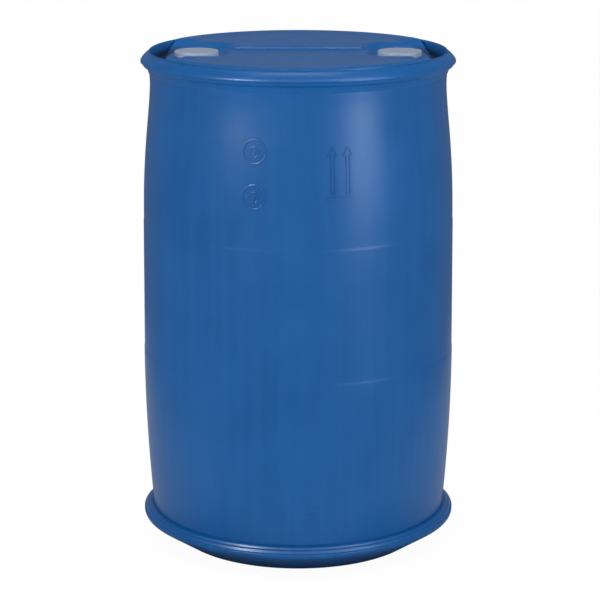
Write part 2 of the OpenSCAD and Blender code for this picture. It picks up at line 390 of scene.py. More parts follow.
def set_stops(ramp, stops):
    """Places a colour ramp's stops; each is (position, grey level)."""
    while len(ramp.elements) > 1:
        ramp.elements.remove(ramp.elements[-1])
    for i, (position, level) in enumerate(stops):
        element = ramp.elements[0] if i == 0 else ramp.elements.new(position)
        element.position = position
        element.color = (level, level, level, 1)


def shape_tree(name, inputs):
    """A Geometry Nodes tree with a Geometry input, the named inputs and a Geometry output."""
    tree = bpy.data.node_groups.new(name, "GeometryNodeTree")
    tree.interface.new_socket(name="Geometry", in_out="INPUT", socket_type="NodeSocketGeometry")
    for socket_name, kind in inputs.items():
        tree.interface.new_socket(
            name=socket_name, in_out="INPUT", socket_type="NodeSocket" + kind
        )
    tree.interface.new_socket(name="Material", in_out="INPUT", socket_type="NodeSocketMaterial")
    tree.interface.new_socket(name="Geometry", in_out="OUTPUT", socket_type="NodeSocketGeometry")
    graph = Graph(tree)
    group = graph.add("NodeGroupInput")
    return graph, group


def close_tree(graph, group, geometry):
    """Ends a tree in real geometry that carries its material."""
    real = graph.add("GeometryNodeRealizeInstances", inputs=[geometry])
    dressed = graph.add(
        "GeometryNodeSetMaterial", inputs={"Geometry": real, "Material": group.other("Material")}
    )
    graph.add("NodeGroupOutput", inputs=[dressed])
    return graph.tree


def turned_tree():
    """Turns the section that comes in about an upright axis.

    The section's points lie in order with their radius in X and their height in Z. More than
    one turn with a rise makes a thread, whose ends run out towards the root.
    """
    graph, group = shape_tree(
        "Turned section",
        {
            "Columns": "Int",
            "Turns": "Float",
            "Rise": "Float",
            "Crowding": "Float",
            "Run-out": "Float",
            "Root": "Vector",
            "Centre": "Float",
        },
    )
    geometry, columns = group, group.other("Columns")
    rows = graph.add("GeometryNodeAttributeDomainSize", inputs=[geometry])
    grid = graph.add("GeometryNodeMeshGrid", inputs=[1, 1, columns + 1, rows])
    index = graph.add("GeometryNodeInputIndex")
    column = graph.add("ShaderNodeMath", {"operation": "FLOOR"}, [(index + 0.5) / rows])
    row = index - column * rows
    point = graph.add(
        "GeometryNodeSampleIndex",
        {"data_type": "FLOAT_VECTOR"},
        {
            "Geometry": geometry,
            "Value": graph.add("GeometryNodeInputPosition"),
            "Index": row,
        },
    )
    from_end = graph.lowest(column, columns - column)
    fullness = graph.lowest(from_end / graph.highest(group.other("Run-out"), 0.001), 1)
    fullness = graph.highest(fullness, group.other("Run-out") < 0.5)
    radius, _, height = graph.parts(point)
    root_r, _, root_z = graph.parts(group.other("Root"))
    radius = root_r + (radius - root_r) * fullness
    height = root_z + (height - root_z) * fullness
    even = column / columns * group.other("Turns")
    turn = even * math.tau
    sway = graph.add("ShaderNodeMath", {"operation": "SINE"}, [turn * 2])
    angle = turn - sway * group.other("Crowding") / 2
    x = radius * graph.add("ShaderNodeMath", {"operation": "COSINE"}, [angle])
    y = radius * graph.add("ShaderNodeMath", {"operation": "SINE"}, [angle])
    z = height + group.other("Rise") * even
    moved = graph.add(
        "GeometryNodeSetPosition",
        inputs={"Geometry": grid, "Position": graph.vector(x + group.other("Centre"), y, z)},
    )
    welded = graph.add(
        "GeometryNodeMergeByDistance", inputs={"Geometry": moved, "Distance": WELD}
    )
    return close_tree(graph, group, welded)


HEAD_INPUTS = [
    "deck_below",
    "valley_below",
    "valley_floor",
    "deck_slope_w",
    "ring_slope_w",
    "crest_land",
    "mouth_w",
    "mouth_l",
    "mouth_round",
    "bank",
    "valley_half_l",
    "valley_bank",
    "channel_w",
    "channel_h",
    "channel_bank",
    "head_dish",
    "dish_w",
    "shoulder_w",
    "soft_edge",
]


def head_tree():
    """Sinks the decks, grip valleys and channel into the flat head of a turned shell."""
    graph, group = shape_tree(
        "Sunk head",
        {"Head height": "Float", "Seat radius": "Float", "Bung": "Float"}
        | {name: "Float" for name in HEAD_INPUTS},
    )
    size = {name: group.other(name) for name in HEAD_INPUTS}
    soft = size["soft_edge"]
    seat_r = group.other("Seat radius")
    place = graph.add("GeometryNodeInputPosition")
    x, y, z = graph.parts(place)
    across, along = abs(x), abs(y)
    radius = graph.radius(x, y)

    corner_x = group.other("Bung") - size["mouth_l"] + size["mouth_round"]
    corner_y = size["mouth_w"] - size["mouth_round"]
    beside = graph.radius(
        graph.highest(corner_x - across, 0), graph.highest(along - corner_y, 0)
    )
    deck = graph.soft_lowest((size["mouth_round"] - beside) / size["bank"], size["deck_below"], soft)

    floor_out_r = seat_r - size["crest_land"] - size["ring_slope_w"]
    deck_slope = (size["valley_below"] - size["deck_below"]) / size["deck_slope_w"]
    brim_r = floor_out_r - size["valley_floor"] - size["valley_below"] / deck_slope
    valley = graph.soft_lowest((radius - brim_r) * deck_slope, size["valley_below"], soft)
    valley_end = (size["valley_half_l"] - along) / size["valley_bank"]
    valley = graph.soft_lowest(valley, valley_end, soft)

    channel_side = (size["channel_w"] - along) / size["channel_bank"]
    channel = graph.soft_lowest(channel_side, size["channel_h"], soft)

    inside = (seat_r - size["shoulder_w"] - radius) / size["dish_w"]
    inside = graph.lowest(graph.highest(inside, 0), 1)
    dish = inside * inside * (3 - 2 * inside) * size["head_dish"]

    ring_side = (seat_r - size["crest_land"] - radius) * size["valley_below"] / size["ring_slope_w"]
    depth = graph.soft_highest(graph.soft_highest(deck, valley, soft), channel, soft)
    depth = graph.soft_highest(graph.soft_lowest(depth, ring_side, soft), dish, soft)
    on_head = z > group.other("Head height")
    sunk = graph.add(
        "GeometryNodeSetPosition",
        inputs={"Geometry": group, "Offset": graph.vector(0, 0, 0 - depth * on_head)},
    )
    return close_tree(graph, group, sunk)


def around_tree():
    """Repeats what comes in around the Z axis and moves the ring of copies to its centre."""
    graph, group = shape_tree("Repeated around", {"Count": "Int", "Centre": "Float"})
    count = group.other("Count")
    points = graph.add("GeometryNodePoints", inputs={"Count": count})
    turn = graph.add("GeometryNodeInputIndex") / count * math.tau
    copies = graph.add(
        "GeometryNodeInstanceOnPoints",
        inputs={"Points": points, "Instance": group, "Rotation": graph.vector(0, 0, turn)},
    )
    moved = graph.add(
        "GeometryNodeTransform",
        inputs={"Geometry": copies, "Translation": graph.vector(group.other("Centre"), 0, 0)},
    )
    return close_tree(graph, group, moved)


def wrapped_tree():
    """Lays a flat mark on the surface that lies outside it.

    The mark comes in with its width in X, its height on the barrel in Z and how far it stands
    proud in Y; a ray towards the axis finds the surface.
    """
    graph, group = shape_tree("Wrapped mark", {"Surface": "Object", "Radius": "Float"})
    radius = group.other("Radius")
    x, proud, z = graph.parts(graph.add("GeometryNodeInputPosition"))
    angle = x / radius
    out_x = graph.add("ShaderNodeMath", {"operation": "SINE"}, [angle])
    out_y = 0 - graph.add("ShaderNodeMath", {"operation": "COSINE"}, [angle])
    surface = graph.add(
        "GeometryNodeObjectInfo", inputs={"Object": group.other("Surface")}
    ).other("Geometry")
    outside = radius * 1.2
    start = graph.vector(out_x * outside, out_y * outside, z)
    hit = graph.add(
        "GeometryNodeRaycast",
        inputs={
            "Target Geometry": surface,
            "Source Position": start,
            "Ray Direction": graph.vector(0 - out_x, 0 - out_y, 0),
            "Ray Length": radius,
        },
        output="Hit Position",
    )
    offset = graph.vector(out_x * proud, out_y * proud, 0)
    laid = graph.add("ShaderNodeVectorMath", {"operation": "ADD"}, [hit, offset])
    moved = graph.add("GeometryNodeSetPosition", inputs={"Geometry": group, "Position": laid})
    return close_tree(graph, group, moved)


def swept_tree():
    """Sweeps a small ridge along the line that comes in, on both sides of the drum."""
    graph, group = shape_tree("Swept line", {"Width": "Float", "Height": "Float"})
    curve = graph.add("GeometryNodeMeshToCurve", inputs=[group])
    upright = graph.add(
        "GeometryNodeCurvePrimitiveCircle", {"mode": "RADIUS"}, {"Resolution": 8, "Radius": 1}
    )
    flat = graph.add(
        "GeometryNodeTransform",
        inputs={
            "Geometry": upright,
            "Scale": graph.vector(group.other("Height"), group.other("Width") / 2, 1),
        },
    )
    ridge = graph.add("GeometryNodeCurveToMesh", inputs={0: curve, 1: flat, "Fill Caps": True})
    points = graph.add("GeometryNodePoints", inputs={"Count": 2})
    turn = graph.add("GeometryNodeInputIndex") * math.pi
    pair = graph.add(
        "GeometryNodeInstanceOnPoints",
        inputs={"Points": points, "Instance": ridge, "Rotation": graph.vector(0, 0, turn)},
    )
    return close_tree(graph, group, pair)


TREE_MAKERS = {
    "turned": turned_tree,
    "head": head_tree,
    "around": around_tree,
    "wrapped": wrapped_tree,
    "swept": swept_tree,
}
TREES = {}


def tree_for(kind):
    """The tree of that kind, built once."""
    if kind not in TREES:
        TREES[kind] = TREE_MAKERS[kind]()
    return TREES[kind]


# ---- Meshes


def new_object(name, vertices, edges=(), faces=()):
    """A mesh object at the origin."""
    mesh = bpy.data.meshes.new(name)
    mesh.from_pydata([tuple(v) for v in vertices], list(edges), list(faces))
    obj = bpy.data.objects.new(name, mesh)
    bpy.context.scene.collection.objects.link(obj)
    return obj


def line_object(name, section):
    """A line of points given as (radius, height), as a mesh of edges."""
    points = [(r, 0, z) for r, z in section]
    return new_object(name, points, [(i, i + 1) for i in range(len(points) - 1)])


def settled(obj):
    """Keeps what the object's modifiers make of it as its plain mesh."""
    evaluated = obj.evaluated_get(bpy.context.evaluated_depsgraph_get())
    mesh = bpy.data.meshes.new_from_object(evaluated)
    obj.modifiers.clear()
    obj.data = mesh
    return obj


def shaped(obj, kind, material, **values):
    """Runs a tree on the object and keeps the result as its plain mesh."""
    modifier = obj.modifiers.new("Shape", "NODES")
    modifier.node_group = tree_for(kind)
    for socket in modifier.node_group.interface.items_tree:
        if socket.in_out == "INPUT" and socket.name in values:
            modifier[socket.identifier] = values[socket.name]
        elif socket.in_out == "INPUT" and socket.name == "Material":
            modifier[socket.identifier] = material
    return settled(obj)


def turned(
    name,
    section,
    material,
    centre=0,
    columns=96,
    turns=1,
    rise=0,
    run_out=0,
    root=(0, 0),
    crowding=0,
):
    """A section turned about the upright axis at x = centre."""
    return shaped(
        line_object(name, section),
        "turned",
        material,
        Columns=columns,
        Turns=float(turns),
        Rise=float(rise),
        Crowding=float(crowding),
        Root=(root[0], 0.0, root[1]),
        Centre=float(centre),
        **{"Run-out": float(run_out)},
    )


def corner_arc(before, corner, after, radius, steps):
    """Points of the arc that rounds a corner."""
    u = (before - corner).normalized()
    v = (after - corner).normalized()
    half = u.angle(v) / 2
    most = CORNER_SHARE * min((before - corner).length, (after - corner).length)
    reach = min(radius / math.tan(half), most)
    radius = reach * math.tan(half)
    centre = corner + (u + v).normalized() * radius / math.sin(half)
    start, end = corner + u * reach - centre, corner + v * reach - centre
    sweep = math.pi - 2 * half
    return [
        centre + (start * math.sin((1 - s) * sweep) + end * math.sin(s * sweep)) / math.sin(sweep)
        for s in (i / steps for i in range(steps + 1))
    ]


def rounded(points, steps=4, closed=False):
    """A line of (radius, height) points; a third number rounds that corner."""
    line = []
    count = len(points)
    for i, point in enumerate(points):
        here = Vector(point[:2])
        inner = closed or 0 < i < count - 1
        if len(point) > 2 and inner:
            before, after = Vector(points[i - 1][:2]), Vector(points[(i + 1) % count][:2])
            line += corner_arc(before, here, after, point[2], steps)
        else:
            line.append(here)
    if closed:
        line.append(line[0])
    return [tuple(point) for point in line]


def spaced(first, last, step):
    """Numbers from first to last, evenly spaced and no further apart than step."""
    count = max(1, math.ceil(abs(last - first) / step))
    return [first + (last - first) * i / count for i in range(count + 1)]


def bezier(a, b, c, d, steps):
    """Points of a cubic curve from a to d, without its first point."""
    a, b, c, d = (Vector(p) for p in (a, b, c, d))
    return [
        tuple((1 - s) ** 3 * a + 3 * (1 - s) ** 2 * s * b + 3 * (1 - s) * s * s * c + s**3 * d)
        for s in (i / steps for i in range(1, steps + 1))
    ]


def joined(name, objects):
    """One object made of several, whose meshes are taken over."""
    mesh = bpy.data.meshes.new(name)
    shell = bmesh.new()
    for obj in objects:
        shell.from_mesh(obj.data)
    shell.to_mesh(mesh)
    shell.free()
    mesh.materials.append(objects[0].data.materials[0])
    for obj in objects:
        bpy.data.objects.remove(obj)
    result = bpy.data.objects.new(name, mesh)
    bpy.context.scene.collection.objects.link(result)
    return result


def cut(obj, cutter):
    """Takes the cutter's solid away from the object's, and removes the cutter."""
    modifier = obj.modifiers.new("Cut", "BOOLEAN")
    modifier.operation = "DIFFERENCE"
    modifier.solver = "MANIFOLD"
    modifier.object = cutter
    settled(obj)
    bpy.data.objects.remove(cutter)
    return obj


def shaded(obj):
    """Shades the mesh smooth, apart from its creases."""
    obj.data.shade_smooth()
    obj.data.set_sharp_from_angle(angle=CREASE)
    return obj


def outwards(obj):
    """Turns a closed mesh the right way out, if it is inside out, and shades it."""
    shell = bmesh.new()
    shell.from_mesh(obj.data)
    if shell.calc_volume(signed=True) < 0:
        bmesh.ops.reverse_faces(shell, faces=shell.faces)
    shell.to_mesh(obj.data)
    shell.free()
    return shaded(obj)


def bar(name, back, front, widths, heights, soft, segments):
    """A bar along X that is rounded at its front; widths are those at its back and front."""
    obj = new_object(name, [])
    shell = bmesh.new()
    bmesh.ops.create_cube(shell, size=1)
    ahead = {v for v in shell.verts if (v.co.x > 0) == (front > back)}
    low, high = heights
    for vertex in shell.verts:
        vertex.co.x = front if vertex in ahead else back
        vertex.co.y *= widths[vertex in ahead]
        vertex.co.z = high if vertex.co.z > 0 else low
    bmesh.ops.bevel(
        shell,
        geom=[e for e in shell.edges if ahead.issuperset(e.verts)],
        offset=soft,
        segments=segments,
        affect="EDGES",
    )
    shell.to_mesh(obj.data)
    shell.free()
    return obj


def finished(obj, body, slot, *nodes):
    """Sets a finished piece on the body it rides on and hides its CAD nodes, after checking its mesh. The
    slot argument is not used.
    """
    obj.data.validate()
    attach(obj, body)
    if nodes:
        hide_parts(*nodes)
    return obj


# ---- Finishes


def plastic(
    name, base, roughness, specular, worn=None, toned=None, grain=1.0, streaks=0.0, **uniform
):
    """A moulded plastic: cloudy colour, drawn streaks, scuffs, uneven gloss and a fine grain.

    A worn one is scuffed more and more from the first of two heights to the second. Painted
    shade is a darker second colour laid between the given heights and radii.
    """
    material = bpy.data.materials.new(name)
    material.use_nodes = True
    material.node_tree.nodes.clear()
    graph = Graph(material.node_tree)
    place = graph.add("ShaderNodeTexCoord", output="Object")

    def noise(scale, detail, vector=place):
        inputs = {"Vector": vector, "Scale": scale, "Detail": detail, "Roughness": 0.55}
        return graph.add("ShaderNodeTexNoise", inputs=inputs)

    def stretched(x, y, z):
        """Object coordinates scaled differently along each axis."""
        return graph.add("ShaderNodeMapping", inputs={"Vector": place, "Scale": (x, y, z)})

    def ramp(factor, *stops):
        return graph.add("ShaderNodeValToRGB", {"stops": stops}, [factor])

    def between(value, first, last):
        """Rises from 0 to 1 as the value goes from first to last."""
        inputs = {"Value": value, "From Min": first, "From Max": last}
        return graph.add("ShaderNodeMapRange", {"interpolation_type": "SMOOTHSTEP"}, inputs)

    def shade(factor, lift=0.0):
        """The base colour, made darker or lighter."""
        return [min(1, channel * factor + lift) for channel in base] + [1]

    clouds = noise(scale=7.0, detail=3.0)
    drawn = noise(scale=1.0, detail=3.0, vector=stretched(70, 70, 1.3))
    tone = ramp(clouds, (0.3, 0.0), (0.7, 1.0))
    body_colour = graph.mix(tone, shade(0.93), shade(1.07))
    if streaks:
        streak = ramp(drawn, (0.42, 0.0), (0.62, 1.0)) * streaks
        body_colour = graph.mix(streak, body_colour, shade(1.22, lift=0.003))
    mottle = noise(scale=38.0, detail=4.0)
    gloss = roughness + (clouds - 0.5) * 0.10 + (mottle - 0.5) * 0.09
    if worn:
        scratched = noise(scale=1.0, detail=4.0, vector=stretched(26, 26, 420))
        nicked = noise(scale=1.0, detail=5.0, vector=stretched(240, 240, 60))
        scratches = ramp(scratched, (0.64, 0.0), (0.70, 1.0))
        nicks = ramp(nicked, (0.66, 0.0), (0.72, 1.0))
        patches = ramp(noise(scale=9.0, detail=2.0), (0.50, 0.0), (0.64, 1.0))
        mask = graph.lowest((scratches + nicks * 0.7) * patches * worn["amount"], 1)
        low, high = worn["between"]
        mask = mask * between(graph.parts(place)[2], low, high)
        body_colour = graph.mix(mask, body_colour, list(worn["colour"]) + [1])
        gloss = gloss + mask * 0.22
    # Painted shade: a darker colour laid between the given heights, and radii if given
    if toned:
        mask = between(graph.parts(place)[2], *toned["heights"])
        if "radii" in toned:
            mask = mask * between(graph.radius(*graph.parts(place)[:2]), *toned["radii"])
            mask = mask * (graph.parts(place)[2] > toned["floor"])
        mask = graph.lowest(mask * (0.8 + clouds * 0.4), 1)
        body_colour = graph.mix(mask, body_colour, list(toned["colour"]) + [1])
        gloss = gloss + mask * 0.10
    peel = noise(scale=330.0, detail=2.0)
    fine = noise(scale=1500.0, detail=1.0)
    swell = noise(scale=11.0, detail=1.0)
    relief = swell * 5.0 + peel * (0.55 * grain) + fine * (0.12 * grain)
    bump = graph.add(
        "ShaderNodeBump", inputs={"Height": relief, "Strength": 0.55, "Distance": 0.00012}
    )
    shader = graph.add(
        "ShaderNodeBsdfPrincipled",
        inputs={
            "Base Color": body_colour,
            "Roughness": gloss,
            "Normal": bump,
            "Specular IOR Level": specular,
            **uniform,
        },
    )
    graph.add("ShaderNodeOutputMaterial", inputs=[shader])
    return material


def drum_blue(context, name="blown_blue"):
    """Finish of the shell and its marks, with painted shade in the grip valleys, or the one of its rings,
    which have no valleys.
    """
    found = bpy.data.materials.get(name)
    if found:
        return found
    finish, head = context.scene.drum_finishes, context.scene.drum_head
    top_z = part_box("drum_body")[1].z
    valley_z = top_z - head.valley_below
    valley_r = top_seat_radius() - head.ring_slope_w - head.valley_floor
    # Painted shade: the grip valleys and the deck banks beside them take a darker colour between these
    # heights and radii
    valleys = {
        "heights": (top_z - head.channel_h, valley_z + 8 * MM),
        "radii": (valley_r - head.deck_slope_w, valley_r),
        "floor": valley_z - 5 * MM,
        "colour": finish.painted_valley_shade,
    }
    on_shell = name == "blown_blue"
    return plastic(
        name,
        finish.hdpe_blue,
        finish.shell_roughness if on_shell else finish.ring_roughness,
        finish.shell_specular,
        worn={"amount": 0.35, "between": (0.30, 0.02), "colour": finish.scuff},
        toned=valleys if on_shell else None,
        streaks=0.22,
    )


def plain_finish(context, name):
    """Finish of a small moulded part of the bungs."""
    finish = context.scene.drum_finishes
    seal_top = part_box("left_cap_seal")[1].z
    # Painted shade: the top of a cap seal takes a darker colour than its side
    top = {"heights": (seal_top - 1.6 * MM, seal_top - 0.6 * MM), "colour": finish.seal_top}
    # Base colour, roughness, specular level and what else a finish has
    kinds = {
        "neck_blue": (finish.neck_blue, 0.36, 0.45, {}),
        "plug_white": (finish.plug_white, 0.34, 0.5, {"Subsurface Weight": 0.1}),
        "gasket_black": (finish.gasket_black, 0.68, 0.4, {}),
        "seal_white": (finish.seal_white, 0.30, 0.5, {"Subsurface Weight": 0.15, "toned": top}),
    }
    base, roughness, specular, uniform = kinds[name]
    found = bpy.data.materials.get(name)
    return found or plastic(name, base, roughness, specular, grain=0.6, **uniform)


# ---- What the packed model says


class Bung:
    """Where one bung lies, how large it is and how its thread runs."""

    def __init__(self, side):
        self.side = side
        neck_low, neck_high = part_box(f"{side}_neck")
        plug_low, plug_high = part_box(f"{side}_plug")
        seal_low, seal_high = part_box(f"{side}_cap_seal")
        gasket_low, gasket_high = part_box(f"{side}_plug_gasket")
        self.x = (neck_low.x + neck_high.x) / 2
        self.rim_r = (neck_high.x - neck_low.x) / 2
        self.neck_z, self.rim_z = neck_low.z, neck_high.z
        self.flange_r = (plug_high.x - plug_low.x) / 2
        self.plug_z, self.plug_top = plug_low.z, plug_high.z
        self.seal_r = (seal_high.x - seal_low.x) / 2
        self.seal_z, self.seal_top = seal_low.z, seal_high.z
        self.gasket_r = (gasket_high.x - gasket_low.x) / 2
        self.gasket_z, self.gasket_top = gasket_low.z, gasket_high.z
        self.bore_r = self.reach(f"{side}_neck", min, neck_low.z, neck_high.z)
        self.thread_r = self.reach(f"{side}_plug", max, plug_low.z, gasket_low.z)
        self.gasket_in_r = self.reach(f"{side}_plug_gasket", min, gasket_low.z, gasket_high.z)
        couplings = frame["record"]["behaviour"]["couplings"]
        lift = next(c for c in couplings if c["joint"] == f"{side}_plug_lift")
        self.pitch = lift["ratio"] * math.tau

    def reach(self, node, pick, low, high):
        """The smallest or largest distance of a node's points from the bung's axis."""
        return pick(
            math.hypot(v.co.x - self.x, v.co.y)
            for v in frame["nodes"][node].data.vertices
            if low - WELD <= v.co.z <= high + WELD
        )

    def thread(self, name, root_r, tip_r, first_z, turns, material):
        """A helical ridge from root_r to tip_r; it runs out at both ends."""
        half_root, half_tip = self.pitch * 0.24, self.pitch * 0.085
        root_overlap = 0.2
        sunk = root_r + (root_r - tip_r) * root_overlap
        section = [
            (sunk, first_z - half_root),
            (tip_r, first_z - half_tip),
            (tip_r, first_z + half_tip),
            (sunk, first_z + half_root),
            (sunk, first_z - half_root),
        ]
        return turned(
            name,
            section,
            material,
            centre=self.x,
            columns=int(turns * THREAD_COLUMNS),
            turns=turns,
            rise=self.pitch,
            run_out=THREAD_RUN_OUT,
            root=(sunk, first_z),
        )


# ---- Shell


# Rows of faces in the barrel's foot, a belt line, the waist between the belts, and the neck
FOOT_ROWS, BELT_ROWS, WAIST_ROWS, NECK_ROWS = 12, 6, 8, 20
# How upright the upper barrel leaves its belt and reaches the neck, as shares of its height
LEAVING, REACHING = 0.515, 0.2
# Distances between the rows of faces on the base, on the head and round its middle
BASE_STEP, SLOPE_STEP, FLAT_STEP, POLE_STEP = 30 * MM, 1.9 * MM, 2.6 * MM, 10 * MM
POLE_R = 30 * MM
# The same on the cavity's roof, which is sloped only beyond a radius
ROOF_SLOPE_R, ROOF_SLOPE_STEP, ROOF_FLAT_STEP = 222 * MM, 2 * MM, 5 * MM
CAVITY_COLUMNS, CAVITY_CROWDING = 180, 0.4
# What lies no further than this below the top of a turned shell is sunk with its head
HEAD_SKIN = 0.1 * MM


def barrel_line(sizes, height, seat_foot, inset=0.0):
    """The barrel from its foot to the top ring's seat, as (radius, height) points."""
    full_r = sizes.barrel_r - inset
    foot = Vector((full_r - sizes.foot_in, seat_foot))
    belly = Vector((full_r, sizes.lower_belt_z - sizes.belt_h / 2))
    neck = (full_r - sizes.neck_in, height - sizes.neck_below)
    bow = (belly.y - foot.y) / 2
    line = [
        tuple((1 - s) ** 2 * foot + 2 * (1 - s) * s * Vector((belly.x, belly.y - bow)) + s * s * belly)
        for s in (i / FOOT_ROWS for i in range(FOOT_ROWS + 1))
    ]

    def belt(radius, z, step):
        """An eased step of the barrel, centred on height z."""
        return [
            (radius - step * (3 * s * s - 2 * s**3), z + (s - 0.5) * sizes.belt_h)
            for s in (i / BELT_ROWS for i in range(BELT_ROWS + 1))
        ]

    upper_r = full_r - sizes.upper_belt_in
    line += belt(full_r, sizes.lower_belt_z, sizes.belt_step)[1:]
    low_r, low_z = line[-1]
    upper = belt(upper_r, sizes.upper_belt_z, sizes.belt_step)
    line += [
        (low_r + (upper_r - low_r) * s, low_z + (upper[0][1] - low_z) * s)
        for s in (i / WAIST_ROWS for i in range(1, WAIST_ROWS))
    ]
    line += upper
    start = upper[-1]
    rise = neck[1] - start[1]
    line += bezier(
        start,
        (start[0], start[1] + rise * LEAVING),
        (neck[0], neck[1] - rise * REACHING),
        neck,
        NECK_ROWS,
    )
    return line


class DRUM_OT_shell(bpy.types.Operator):
    """Build the blown shell with its sunk head, belts, heel and dished base"""

    bl_idname = "drum.shell"
    bl_label = "Shell"

    def execute(self, context):
        sizes, head = context.scene.drum_shell, context.scene.drum_head
        rings = context.scene.drum_rings
        finish = drum_blue(context)
        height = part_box("drum_body")[1].z
        top_seat_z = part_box("top_ring")[0].z
        foot_ring_low, foot_ring_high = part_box("bottom_ring")
        seat_r = top_seat_radius()
        foot_seat_r, stand_r, dish_r = base_radii(sizes)
        bungs = [Bung(side) for side in SIDES]

        base = [(r, sizes.dish_h) for r in spaced(0, dish_r - 12 * MM, BASE_STEP)]
        base += rounded(
            [
                (dish_r - 10 * MM, sizes.dish_h),
                (dish_r, sizes.dish_h, 5 * MM),
                (dish_r + sizes.dish_h, 0, 4 * MM),
                (stand_r, 0, sizes.heel_round),
                (foot_seat_r, foot_ring_low.z),
                (foot_seat_r, foot_ring_high.z),
            ],
            steps=5,
        )
        barrel = barrel_line(sizes, height, foot_ring_high.z)
        edge_z, edge_r = height - head.shoulder_h, seat_r - head.shoulder_w
        top = [(seat_r, top_seat_z), (seat_r, height - 20 * MM), (seat_r, edge_z - rings.seam)]
        # The third point is the crease that runs round the head inside its rounded edge
        top += rounded(
            [
                (seat_r - rings.seam, edge_z),
                (edge_r + 2 * MM, height - 0.5 * MM, 3 * MM),
                (edge_r + 1 * MM, height - 1.1 * MM, 0.2 * MM),
                (edge_r, height),
            ],
            steps=5,
        )
        slopes_r = bungs[1].x - head.mouth_l - 12 * MM
        flat = [(r, height) for r in spaced(edge_r, slopes_r, SLOPE_STEP)[1:]]
        flat += [(r, height) for r in spaced(slopes_r, POLE_R, FLAT_STEP)[1:]]
        flat += [(r, height) for r in spaced(POLE_R, 0, POLE_STEP)[1:]]
        outer = turned(
            "drum_shell",
            base + barrel + top + flat,
            finish,
            columns=sizes.columns,
            crowding=sizes.crowding,
        )
        inner = turned(
            "drum_cavity",
            self.cavity(sizes, height, seat_r),
            finish,
            columns=CAVITY_COLUMNS,
            crowding=CAVITY_CROWDING,
        )
        depths = {name: float(getattr(head, name)) for name in HEAD_INPUTS}
        for obj, top_z in ((outer, edge_z), (inner, height - sizes.wall)):
            shaped(
                obj,
                "head",
                finish,
                Bung=bungs[1].x,
                **{"Head height": top_z - HEAD_SKIN, "Seat radius": seat_r},
                **depths,
            )
            outwards(obj)
        cut(outer, inner)
        for bung in bungs:
            hole_r = bung.rim_r - NECK_LAP
            low, high = bung.rim_z - 20 * MM, bung.rim_z + 10 * MM
            section = [(0, low), (hole_r, low), (hole_r, high), (0, high)]
            cut(outer, outwards(turned("drum_hole", section, finish, centre=bung.x)))
        outwards(outer)
        finished(outer, "drum", "drum_shell", "drum_body")
        return {"FINISHED"}

    def cavity(self, sizes, height, seat_r):
        """Outline of the space inside the shell, before the head is sunk."""
        foot_ring_low, foot_ring_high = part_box("bottom_ring")
        wall = sizes.wall
        foot_seat_r, stand_r, dish_r = base_radii(sizes)
        rise = foot_ring_low.z / sizes.heel_in
        thick = wall * math.hypot(1, rise)
        base = rounded(
            [
                (0, sizes.dish_h + wall),
                (dish_r + wall / 2, sizes.dish_h + wall, 5 * MM),
                (dish_r + sizes.dish_h, wall, 4 * MM),
                (stand_r + (wall - thick) / rise, wall, sizes.heel_round),
                (foot_seat_r - wall, (foot_seat_r - wall - stand_r) * rise + thick),
                (foot_seat_r - wall, foot_ring_high.z),
            ],
            steps=4,
        )
        roof = rounded(
            [
                (seat_r - wall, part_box("top_ring")[0].z),
                (seat_r - wall, height - wall - 0.2 * MM, 2 * MM),
                (seat_r - wall - 4 * MM, height - wall),
            ],
            steps=3,
        )
        radii = spaced(roof[-1][0], ROOF_SLOPE_R, ROOF_SLOPE_STEP)[1:]
        radii += spaced(ROOF_SLOPE_R, 0, ROOF_FLAT_STEP)[1:]
        flat = [(r, height - wall) for r in radii]
        return base + barrel_line(sizes, height, foot_ring_high.z, wall) + roof + flat


def top_seat_radius():
    """Radius at which the top ring is seated on the shell."""
    vertices = frame["nodes"]["top_ring"].data.vertices
    return min(math.hypot(v.co.x, v.co.y) for v in vertices)


def base_radii(sizes):
    """Radii of the bottom ring's seat, the standing edge and the dished panel."""
    seat_r = sizes.barrel_r - sizes.foot_in - sizes.seat_in
    stand_r = seat_r - sizes.heel_in
    return seat_r, stand_r, stand_r - sizes.stand_w - sizes.dish_h


# ---- Rings


